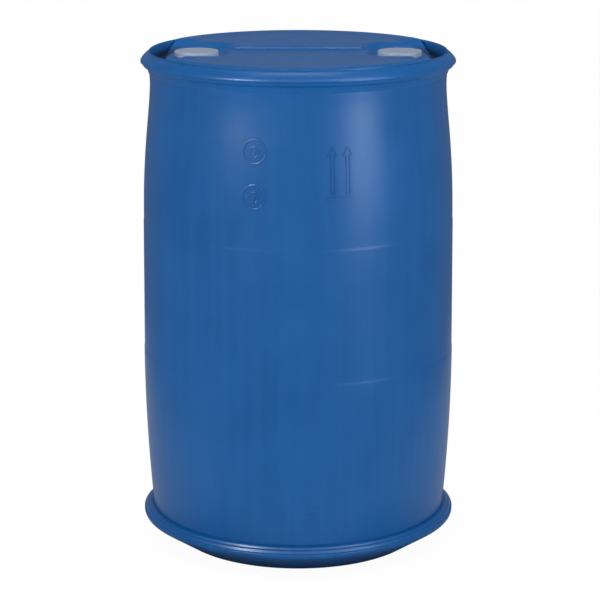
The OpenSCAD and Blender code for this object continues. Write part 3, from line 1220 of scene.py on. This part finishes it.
class DRUM_OT_rings(bpy.types.Operator):
    """Build the two handling rings"""

    bl_idname = "drum.rings"
    bl_label = "Handling rings"

    def execute(self, context):
        sizes, finish = context.scene.drum_rings, drum_blue(context, "ring_blue")
        top = turned("top_handling_ring", self.top_section(sizes), finish, columns=sizes.columns)
        finished(outwards(top), "drum", "handling_ring", "top_ring")
        foot = turned("foot_handling_ring", self.foot_section(sizes), finish, columns=sizes.columns)
        finished(outwards(foot), "drum", "handling_ring", "bottom_ring")
        return {"FINISHED"}

    def top_section(self, sizes):
        """A sloping nose over a lip, a small ledge and a drawn-in collar."""
        low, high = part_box("top_ring")
        seat, out = top_seat_radius(), high.x
        crest = bpy.context.scene.drum_head.shoulder_h
        inner, nose_z = seat + sizes.seam, high.z - sizes.nose_h
        nose_w, nose_h = out - inner, sizes.nose_h - crest
        power = 2 / sizes.nose_power
        rows = 20
        nose = [
            (inner + nose_w * math.sin(a) ** power, nose_z + nose_h * math.cos(a) ** power)
            for a in (math.radians(90 * row / rows) for row in range(rows))
        ]
        under = rounded(
            [
                nose[-1],
                (out, nose_z - 2.2 * MM, 1.1 * MM),
                (out - 2.8 * MM, nose_z - 3.2 * MM, 0.6 * MM),
                (out - 4.8 * MM, nose_z - 8 * MM, 2 * MM),
                (seat + 4.4 * MM, nose_z - 12.4 * MM, 2 * MM),
                (seat + 2.4 * MM, nose_z - 19 * MM, 3 * MM),
                (seat + 1.4 * MM, low.z + 2 * MM, 1.5 * MM),
                (seat, low.z),
            ],
            steps=5,
        )
        return nose + under[1:] + [(seat, high.z - crest - sizes.seam), nose[0]]

    def foot_section(self, sizes):
        """Two narrow treads above a broad lip, over a sloping underside."""
        low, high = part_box("bottom_ring")
        shell = bpy.context.scene.drum_shell
        foot = shell.barrel_r - shell.foot_in
        seat, out = foot - shell.seat_in, high.x
        lip_z = low.z + (out - seat) * low.z / shell.heel_in
        top = high.z
        return rounded(
            [
                (seat, low.z),
                (out, lip_z, 6 * MM),
                (out, top - 11.6 * MM, 1.3 * MM),
                (out - 3.5 * MM, top - 10 * MM, 0.6 * MM),
                (out - 5.7 * MM, top - 6 * MM, 1.6 * MM),
                (out - 9.2 * MM, top - 4.2 * MM, 0.6 * MM),
                (out - 11 * MM, top - 1.4 * MM, 1.6 * MM),
                (out - 15.5 * MM, top, 2 * MM),
                (foot + sizes.foot_seam, top),
                (foot, top - sizes.foot_seam),
                (seat, top - sizes.foot_seam),
            ],
            steps=4,
            closed=True,
        )


# ---- Marks that the mould leaves


# Where the marks lie: how far across the front and how high above the floor
DIALS_X, DIAL_HEIGHTS = -80 * MM, (784 * MM, 705 * MM)
ARROWS_X, ARROWS_Z = 77 * MM, 699 * MM
# Most that two points of a mark's outline lie apart, so that it bends round the barrel
MARK_STEP = 4 * MM


def inset(points, width):
    """The outline that lies the given width inside an outline drawn anticlockwise."""
    inner = []
    for i, point in enumerate(points):
        here = Vector(point)
        come = (here - Vector(points[i - 1])).normalized()
        go = (Vector(points[(i + 1) % len(points)]) - here).normalized()
        mitre = come.orthogonal() + go.orthogonal()
        inner.append(here + mitre * (width / (1 + come.dot(go))))
    return inner


def box_outline(half, low, high):
    """An upright rectangle, as (across, up) points."""
    return [(-half, low), (half, low), (half, high), (-half, high)]


def arrow_outline(shaft, half, low, neck, tip):
    """An upright arrow, from the half widths of its shaft and head and its three heights."""
    right = [(shaft, low), (shaft, neck), (half, neck)]
    left = [(-across, up) for across, up in reversed(right)]
    return [left[-1], *right, (0, tip), *left[:-1]]


def flat_outline(name, points, height, material, line=0):
    """A raised flat shape: an outline of (across, up) points, filled or a line of a given width."""
    shell = bmesh.new()
    inner = inset(points, line)
    outside, inside = [], []
    for i, point in enumerate(points):
        k = (i + 1) % len(points)
        here, after = Vector(point), Vector(points[k])
        count = max(1, math.ceil((after - here).length / MARK_STEP))
        outside += [here.lerp(after, step / count) for step in range(count)]
        inside += [inner[i].lerp(inner[k], step / count) for step in range(count)]
    outer = [shell.verts.new((p.x, -height, p.y)) for p in outside]
    if line:
        hole = [shell.verts.new((p.x, -height, p.y)) for p in inside]
        turn = range(-1, len(outer) - 1)
        faces = [shell.faces.new((outer[i], outer[i + 1], hole[i + 1], hole[i])) for i in turn]
    else:
        faces = [shell.faces.new(outer)]
    grown = bmesh.ops.extrude_face_region(shell, geom=faces)
    for vertex in grown["geom"]:
        if isinstance(vertex, bmesh.types.BMVert):
            vertex.co.y = height
    bmesh.ops.triangulate(shell, faces=[f for f in shell.faces if len(f.verts) > 4])
    bmesh.ops.recalc_face_normals(shell, faces=shell.faces)
    obj = new_object(name, [])
    shell.to_mesh(obj.data)
    shell.free()
    obj.data.materials.append(material)
    return obj


def flat_ring(name, radius, width, height, material):
    """A raised ring that lies flat, facing the front."""
    section = rounded(
        [
            (radius - width / 2, -height),
            (radius + width / 2, -height),
            (radius + width / 2, height, height * 0.6),
            (radius - width / 2, height, height * 0.6),
        ],
        steps=2,
        closed=True,
    )
    ring = turned(name, section, material, columns=48)
    ring.data.transform(Matrix.Rotation(math.radians(-90), 4, "X"))
    return ring


class DRUM_OT_mould_marks(bpy.types.Operator):
    """Build the date dials, the upright arrows and the parting line"""

    bl_idname = "drum.mould_marks"
    bl_label = "Mould marks"

    def execute(self, context):
        sizes, finish = context.scene.drum_rings, drum_blue(context)
        surface = bpy.data.objects["drum_shell"]
        marks = [self.placed(self.dial(sizes, finish), DIALS_X, z) for z in DIAL_HEIGHTS]
        marks.append(self.placed(self.arrows(sizes, finish), ARROWS_X, ARROWS_Z))
        flat = joined("front_mould_marks", marks)
        shaped(
            flat,
            "wrapped",
            finish,
            Surface=surface,
            Radius=float(context.scene.drum_shell.barrel_r),
        )
        finished(outwards(flat), "drum", "drum_shell")
        self.parting_line(context, sizes, finish)
        return {"FINISHED"}

    def placed(self, obj, across, up):
        """Moves a flat mark to its place on the front."""
        obj.data.transform(Matrix.Translation((across, 0, up)))
        return obj

    def dial(self, sizes, finish):
        """A date dial: two rings, twelve ticks and a pointer."""
        outer = flat_ring("dial_rim", sizes.dial_r, sizes.mark_w, sizes.mark_h, finish)
        hub_r, hub_w, hub_h = sizes.dial_r * 0.42, sizes.mark_w * 0.6, sizes.mark_h * 0.8
        inner = flat_ring("dial_hub", hub_r, hub_w, hub_h, finish)
        tick_in, tick_out = sizes.dial_r * 0.62, sizes.dial_r * 0.80
        tick_line = box_outline(sizes.mark_w * 0.2, tick_in, tick_out)
        tick = flat_outline("dial_tick", tick_line, sizes.mark_h * 0.7, finish)
        tick.data.transform(Matrix.Rotation(math.radians(90), 4, "X"))
        shaped(tick, "around", finish, Count=12, Centre=0.0)
        tick.data.transform(Matrix.Rotation(math.radians(-90), 4, "X"))
        reach = sizes.dial_r * 0.34
        pointer_line = arrow_outline(0.3 * reach, 0.7 * reach, -reach, 0.2 * reach, reach)
        pointer = flat_outline("dial_pointer", pointer_line, hub_h, finish)
        return joined("dial", [outer, inner, tick, pointer])

    def arrows(self, sizes, finish):
        """Two upright arrows over a bar, as on any crate that has to stand upright."""
        half, shaft = sizes.arrow_w / 2, sizes.arrow_w * 0.19
        low, bar_h = 12 * MM, 5.5 * MM
        neck, tip = low + sizes.arrow_h - sizes.arrow_w * 0.75, low + sizes.arrow_h
        arrow_line = arrow_outline(shaft, half, low, neck, tip)
        pieces = []
        for side in (-1, 1):
            arrow = flat_outline("arrow", arrow_line, sizes.mark_h, finish, sizes.mark_w * 0.5)
            pieces.append(self.placed(arrow, side * sizes.arrow_w * 0.68, 0))
        bar_line = box_outline(sizes.arrow_w * 1.2, 0, bar_h)
        pieces.append(flat_outline("arrow_bar", bar_line, sizes.mark_h, finish))
        return joined("arrows", pieces)

    def parting_line(self, context, sizes, finish):
        """The mould's parting line down both sides of the barrel, partly sunk in it."""
        shell = context.scene.drum_shell
        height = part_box("drum_body")[1].z
        foot_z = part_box("bottom_ring")[1].z
        sunk = sizes.parting_h * 0.4
        line = [(r - sunk, z) for r, z in barrel_line(shell, height, foot_z)]
        ridge = shaped(
            line_object("parting_line", line),
            "swept",
            finish,
            Width=sizes.parting_w,
            Height=sizes.parting_h,
        )
        finished(outwards(ridge), "drum", "drum_shell")


# ---- Bungs


class DRUM_OT_necks(bpy.types.Operator):
    """Build the threaded inserts that are clamped to the decks"""

    bl_idname = "drum.necks"
    bl_label = "Necks"

    def execute(self, context):
        sizes, finish = context.scene.drum_bungs, plain_finish(context, "neck_blue")
        wall = context.scene.drum_shell.wall
        for bung in (Bung(side) for side in SIDES):
            deck_z = bung.rim_z - sizes.rim_h
            rim_r, hole_r = bung.rim_r - sizes.rib_out, bung.rim_r - NECK_LAP
            lock_z = deck_z - wall - LOCK_H
            section = rounded(
                [
                    (bung.bore_r, bung.rim_z, 0.6 * MM),
                    (rim_r, bung.rim_z, 0.6 * MM),
                    (rim_r, deck_z),
                    (hole_r, deck_z),
                    (hole_r, deck_z - wall),
                    (bung.rim_r, deck_z - wall),
                    (bung.rim_r, lock_z, 0.5 * MM),
                    (hole_r, lock_z),
                    (hole_r - 1.4 * MM, bung.neck_z, 0.8 * MM),
                    (bung.bore_r, bung.neck_z, 0.6 * MM),
                ],
                steps=3,
                closed=True,
            )
            name = f"{bung.side}_threaded_neck"
            body = outwards(turned("neck_body", section, finish, centre=bung.x, columns=144))
            depth = sizes.thread_share * bung.pitch
            first = bung.plug_z + THREAD_START - bung.pitch / 2
            turns = int((bung.rim_z - 1 * MM - first) / bung.pitch)
            thread = outwards(
                bung.thread("neck_thread", bung.bore_r, bung.bore_r - depth, first, turns, finish)
            )
            ribs = outwards(
                grip_ribs(sizes, rim_r, deck_z + 0.3 * MM, bung.rim_z - 0.6 * MM, bung.x, finish)
            )
            neck = shaded(joined(name, [body, thread, ribs]))
            finished(neck, "drum", "bung_neck", f"{bung.side}_neck")
        return {"FINISHED"}


def grip_ribs(sizes, radius, low, high, centre, finish):
    """Upright ribs round a rim, repeated about its axis."""
    width = math.tau * radius / sizes.rib_count * 0.24
    back, front = radius - 0.5 * MM, radius + sizes.rib_out
    rib = bar("rib", back, front, (2 * width, width), (low, high), soft=0.12 * MM, segments=1)
    return shaped(rib, "around", finish, Count=sizes.rib_count, Centre=float(centre))


class DRUM_OT_plugs(bpy.types.Operator):
    """Build the screw plugs with their threads and wrench lugs"""

    bl_idname = "drum.plugs"
    bl_label = "Screw plugs"

    def execute(self, context):
        sizes, finish = context.scene.drum_bungs, plain_finish(context, "plug_white")
        for bung in (Bung(side) for side in SIDES):
            depth = sizes.thread_share * bung.pitch
            core_r = bung.thread_r - depth
            cup_r = bung.thread_r - sizes.plug_wall
            floor_z = bung.plug_z + sizes.plug_floor
            flange_r, flange_z = bung.flange_r - sizes.rib_out, bung.plug_top - sizes.flange_t
            groove_r, groove_z = (cup_r + flange_r) / 2, bung.plug_top - 0.6 * MM
            gate_z = floor_z + 1.2 * MM
            section = rounded(
                [
                    (0, bung.plug_z),
                    (core_r, bung.plug_z, 1.2 * MM),
                    (core_r, flange_z),
                    (flange_r, flange_z, 0.5 * MM),
                    (flange_r, bung.plug_top, 0.9 * MM),
                    (groove_r + 1.4 * MM, bung.plug_top, 0.3 * MM),
                    (groove_r + 0.9 * MM, groove_z, 0.2 * MM),
                    (groove_r - 0.9 * MM, groove_z, 0.2 * MM),
                    (groove_r - 1.4 * MM, bung.plug_top, 0.3 * MM),
                    (cup_r, bung.plug_top, 0.8 * MM),
                    (cup_r - 0.4 * MM, floor_z, 1.5 * MM),
                    (4 * MM, floor_z, 0.5 * MM),
                    (2.6 * MM, gate_z, 0.5 * MM),
                    (0, gate_z),
                ],
                steps=4,
            )
            body = outwards(turned("plug_body", section, finish, centre=bung.x, columns=144))
            first = bung.plug_z + THREAD_START
            turns = int((flange_z - 2 * MM - first) / bung.pitch)
            thread = outwards(
                bung.thread("plug_thread", core_r, bung.thread_r, first, turns, finish)
            )
            lugs = outwards(self.lugs(sizes, cup_r, floor_z, bung, finish))
            rib_low, rib_high = flange_z + 0.6 * MM, bung.plug_top - 0.9 * MM
            ribs = outwards(grip_ribs(sizes, flange_r, rib_low, rib_high, bung.x, finish))
            plug = shaded(joined(f"{bung.side}_screw_plug", [body, thread, lugs, ribs]))
            finished(plug, f"{bung.side}_plug", "bung_plug", f"{bung.side}_plug")
        return {"FINISHED"}

    def lugs(self, sizes, cup_r, floor_z, bung, finish):
        """The bars in the cup that a bung wrench takes hold of."""
        lug = bar(
            "lug",
            back=cup_r + 1 * MM,
            front=cup_r - sizes.lug_l,
            widths=(sizes.lug_w, sizes.lug_w),
            heights=(floor_z - 1 * MM, bung.plug_top - sizes.lug_below),
            soft=0.8 * MM,
            segments=3,
        )
        return shaped(lug, "around", finish, Count=sizes.lug_count, Centre=float(bung.x))


class DRUM_OT_gaskets(bpy.types.Operator):
    """Build the flat gaskets under the plugs' flanges"""

    bl_idname = "drum.gaskets"
    bl_label = "Gaskets"

    def execute(self, context):
        finish = plain_finish(context, "gasket_black")
        for bung in (Bung(side) for side in SIDES):
            soft = (bung.gasket_top - bung.gasket_z) * 0.3
            section = rounded(
                [
                    (bung.gasket_in_r, bung.gasket_z, soft),
                    (bung.gasket_r, bung.gasket_z, soft),
                    (bung.gasket_r, bung.gasket_top, soft),
                    (bung.gasket_in_r, bung.gasket_top, soft),
                ],
                steps=4,
                closed=True,
            )
            gasket = turned(f"{bung.side}_flat_gasket", section, finish, centre=bung.x, columns=128)
            finished(
                outwards(gasket), f"{bung.side}_gasket", "plug_gasket", f"{bung.side}_plug_gasket"
            )
        return {"FINISHED"}


class DRUM_OT_cap_seals(bpy.types.Operator):
    """Build the pale overcaps that seal the bungs"""

    bl_idname = "drum.cap_seals"
    bl_label = "Cap seals"

    def execute(self, context):
        sizes, finish = context.scene.drum_bungs, plain_finish(context, "seal_white")
        for bung in (Bung(side) for side in SIDES):
            in_r, out_r = bung.seal_r - sizes.seal_wall, bung.seal_r
            low, top = bung.seal_z, bung.seal_top
            panel_r, panel_z = out_r - 6 * MM, top - sizes.seal_dip
            tear_z, tear_half = low + 2.6 * MM, 0.5 * MM
            section = rounded(
                [
                    (0, panel_z),
                    (panel_r - 1.5 * MM, panel_z, 1 * MM),
                    (panel_r, top, 1 * MM),
                    (out_r, top, sizes.seal_round),
                    (out_r, tear_z + tear_half, 0.15 * MM),
                    (out_r - sizes.tear_line, tear_z, 0.1 * MM),
                    (out_r, tear_z - tear_half, 0.15 * MM),
                    (out_r, low, 0.4 * MM),
                    (in_r, low, 0.3 * MM),
                    (in_r, top - sizes.seal_top, 0.8 * MM),
                    (0, top - sizes.seal_top),
                ],
                steps=4,
            )
            cap = turned(f"{bung.side}_overcap", section, finish, centre=bung.x, columns=160)
            finished(outwards(cap), f"{bung.side}_seal", "cap_seal", f"{bung.side}_cap_seal")
        return {"FINISHED"}


# ---- Stage


def aim(obj, target):
    """Turns a light so that it shines at the target."""
    direction = Vector(target) - obj.location
    obj.rotation_euler = direction.to_track_quat("-Z", "Y").to_euler()


def soft_light(name, azimuth, elevation, distance, size, power, target):
    """A rectangular soft light. Azimuth 0 is in front of the drum, +90 at its right."""
    light = bpy.data.lights.new(name, "AREA")
    light.shape = "RECTANGLE"
    light.size, light.size_y = size
    light.energy = power
    obj = bpy.data.objects.new(name, light)
    bpy.context.scene.collection.objects.link(obj)
    a, e = math.radians(azimuth), math.radians(elevation)
    offset = Vector((math.sin(a) * math.cos(e), -math.cos(a) * math.cos(e), math.sin(e)))
    obj.location = Vector(target) + offset * distance
    aim(obj, target)
    return obj


def flat_colour(name, shade, glow):
    """A plain matt finish for what the drum stands on, which also glows a little."""
    material = bpy.data.materials.new(name)
    material.use_nodes = True
    material.node_tree.nodes.clear()
    graph = Graph(material.node_tree)
    shader = graph.add(
        "ShaderNodeBsdfPrincipled",
        inputs={
            "Base Color": (shade, shade, shade, 1),
            "Roughness": 1.0,
            "Specular IOR Level": 0.0,
            "Emission Color": (1, 1, 1, 1),
            "Emission Strength": glow,
        },
    )
    graph.add("ShaderNodeOutputMaterial", inputs=[shader])
    return material


def level_square(name, half, z, shade, glow=0.0, back=0.0):
    """A square of floor, centred on the drum or set back from it."""
    near, far = back - half, back + half
    corners = [(-half, near, z), (half, near, z), (half, far, z), (-half, far, z)]
    square = new_object(name, corners, faces=[(0, 1, 2, 3)])
    square.data.materials.append(flat_colour(name, shade, glow))
    return square


class DRUM_OT_stage(bpy.types.Operator):
    """Set up the camera, the pale floor and the soft lights"""

    bl_idname = "drum.stage"
    bl_label = "Stage"

    def execute(self, context):
        sizes = context.scene.drum_stage
        self.camera(context, sizes)
        # The camera sees the first square, while the other two only shade and are reflected
        floor = level_square("pale_floor", sizes.floor_half, z=0, shade=0.06, glow=0.96)
        floor.visible_glossy = floor.visible_diffuse = False
        shade = level_square("shaded_floor", half=0.36, z=-1 * MM, shade=0.45)
        shade.visible_camera = False
        near = level_square("reflected_floor", half=1.0, z=-2 * MM, shade=0.05, glow=0.42, back=0.45)
        near.visible_camera = near.visible_diffuse = False
        middle = (0, 0, CAD_BOX[1].z * 0.5)
        high = (0, 0, CAD_BOX[1].z * 0.75)
        soft_light(
            "front_light",
            azimuth=0,
            elevation=40,
            distance=3.2,
            size=(2.6, 1.4),
            power=sizes.key_power,
            target=middle,
        )
        soft_light(
            "top_light",
            azimuth=0,
            elevation=87,
            distance=2.2,
            size=(1.3, 0.5),
            power=sizes.top_power,
            target=high,
        )
        left = soft_light(
            "left_strip",
            azimuth=-42,
            elevation=26,
            distance=2.3,
            size=(0.38, 0.9),
            power=sizes.strip_power * 2.9,
            target=high,
        )
        right = soft_light(
            "right_strip",
            azimuth=46,
            elevation=22,
            distance=2.3,
            size=(0.92, 2.5),
            power=sizes.strip_power * 2.1,
            target=high,
        )
        left.visible_diffuse = right.visible_diffuse = False
        self.surroundings(context)
        return {"FINISHED"}

    def camera(self, context, sizes):
        """A camera that looks down at the front of the drum."""
        data = bpy.data.cameras.new("camera")
        data.lens = sizes.camera_lens
        data.shift_x = sizes.camera_shift
        data.clip_end = 100
        camera = bpy.data.objects.new("camera", data)
        camera.location = (0, -sizes.camera_y, sizes.camera_z)
        camera.rotation_euler = (math.radians(90) - sizes.camera_pitch, 0, 0)
        context.scene.collection.objects.link(camera)
        context.scene.camera = camera

    def surroundings(self, context):
        """A backdrop that is white to the camera, bright below and dim in reflections."""
        world = bpy.data.worlds.new("studio")
        world.use_nodes = True
        world.node_tree.nodes.clear()
        graph = Graph(world.node_tree)
        ray = graph.add("ShaderNodeLightPath")

        def glow(level):
            """Light of that level from all of the backdrop."""
            grey = level if isinstance(level, Wire) else (level, level, level, 1)
            return graph.add("ShaderNodeBackground", inputs={"Color": grey})

        def eased(kind, value, between, levels):
            """A level that goes from the first to the last as the value crosses a range."""
            return graph.add(
                "ShaderNodeMapRange",
                {"interpolation_type": kind},
                {
                    "Value": value,
                    "From Min": between[0],
                    "From Max": between[1],
                    "To Min": levels[0],
                    "To Max": levels[1],
                },
            )

        _, depth, height = graph.parts(graph.add("ShaderNodeTexCoord"))
        level = eased("SMOOTHSTEP", height, between=(-0.25, 0.45), levels=(1.05, 0.50))
        behind = eased("LINEAR", depth, between=(-0.6, 0.6), levels=(0.07, 0.19))
        lit = graph.add(
            "ShaderNodeMixShader", inputs=[ray.other("Is Glossy Ray"), glow(level), glow(behind)]
        )
        seen = graph.add(
            "ShaderNodeMixShader", inputs=[ray.other("Is Camera Ray"), lit, glow(1.0)]
        )
        graph.add("ShaderNodeOutputWorld", inputs=[seen])
        context.scene.world = world
        context.scene.view_settings.view_transform = "Standard"


# ---- Add-on


PIECES = (
    DRUM_OT_stage,
    DRUM_OT_shell,
    DRUM_OT_rings,
    DRUM_OT_mould_marks,
    DRUM_OT_necks,
    DRUM_OT_plugs,
    DRUM_OT_gaskets,
    DRUM_OT_cap_seals,
)


class DRUM_PT_panel(bpy.types.Panel):
    """Lists the drum's pieces and their sizes"""

    bl_idname = "DRUM_PT_panel"
    bl_label = "Plastic drum"
    bl_space_type = "VIEW_3D"
    bl_region_type = "UI"
    bl_category = "Drum"

    def draw(self, context):
        for piece in PIECES:
            self.layout.operator(piece.bl_idname)
        for name, group in GROUPS.items():
            box = self.layout.box()
            box.label(text=group.__doc__.rstrip("."))
            for prop in group.__annotations__:
                box.prop(getattr(context.scene, name), prop)


def register():
    for cls in (*GROUPS.values(), *PIECES, DRUM_PT_panel):
        bpy.utils.register_class(cls)
    for name, group in GROUPS.items():
        setattr(bpy.types.Scene, name, PointerProperty(type=group))


def unregister():
    for name in GROUPS:
        delattr(bpy.types.Scene, name)
    for cls in (DRUM_PT_panel, *reversed(PIECES), *reversed(GROUPS.values())):
        bpy.utils.unregister_class(cls)


def main():
    register()
    bpy.ops.drum.stage()
    bpy.ops.drum.shell()
    bpy.ops.drum.rings()
    bpy.ops.drum.mould_marks()
    bpy.ops.drum.necks()
    bpy.ops.drum.plugs()
    bpy.ops.drum.gaskets()
    bpy.ops.drum.cap_seals()


if __name__ == "__main__":
    main()
